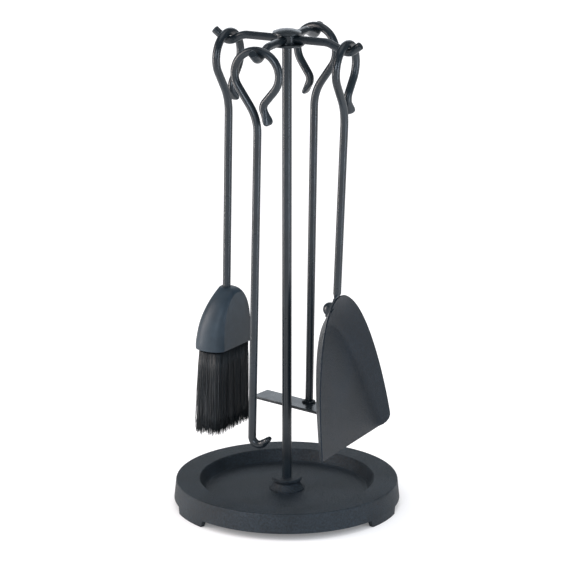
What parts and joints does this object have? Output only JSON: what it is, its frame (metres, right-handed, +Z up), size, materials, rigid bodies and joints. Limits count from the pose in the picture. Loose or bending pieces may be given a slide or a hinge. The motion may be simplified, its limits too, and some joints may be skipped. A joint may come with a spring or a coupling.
{
  "type": "fireplace tool set",
  "caption": "Fireplace tool set: round footed base and post with hook arms that carry a poker, a rake, a shovel and a brush by their crook handles.",
  "frame": {"origin": "centre of the base on the floor it stands on", "axes": "+Z up along the post, +X to the arm with the shovel, +Y to the arm with the rake, -X to the brush, -Y to the poker"},
  "size_m": [0.2832, 0.2832, 0.6074],
  "materials": {
    "base_iron": "satin black powder coat over fine sand cast texture",
    "rod_coat": "satin black powder coat on forged steel bar",
    "pan_coat": "satin black powder coat on pressed sheet steel, fine grain",
    "zinc_steel": "zinc plated, satin",
    "head_plastic": "black moulded plastic, satin",
    "bristle": "near black synthetic bristle"
  },
  "bodies": {
    "stand": {"base_casting": "base_iron", "post_collar": "base_iron", "post": "rod_coat", "base_washer": "zinc_steel", "base_nut": "zinc_steel", "hub_body": "rod_coat", "hub_disc": "rod_coat", "hub_cap": "rod_coat", "arm_poker": "rod_coat", "arm_rake": "rod_coat", "arm_shovel": "rod_coat", "arm_brush": "rod_coat"},
    "poker": {"poker": "rod_coat"},
    "rake": {"rake_rod": "rod_coat", "rake_blade": "rod_coat", "rake_weld": "rod_coat"},
    "shovel": {"shovel_rod": "rod_coat", "shovel_pan": "pan_coat", "shovel_rivet": "rod_coat"},
    "brush": {"brush_rod": "rod_coat", "brush_head": "head_plastic", "brush_bristles": "bristle"}
  },
  "joints": [
    {"name": "poker_lift", "type": "slide", "parent": "stand", "child": "poker", "axis": [0, -0.6428, 0.766], "range_m": [0, 0.25]},
    {"name": "rake_lift", "type": "slide", "parent": "stand", "child": "rake", "axis": [0, 0.6428, 0.766], "range_m": [0, 0.25]},
    {"name": "shovel_lift", "type": "slide", "parent": "stand", "child": "shovel", "axis": [0.6428, 0, 0.766], "range_m": [0, 0.25]},
    {"name": "brush_lift", "type": "slide", "parent": "stand", "child": "brush", "axis": [-0.6428, 0, 0.766], "range_m": [0, 0.25]}
  ]
}
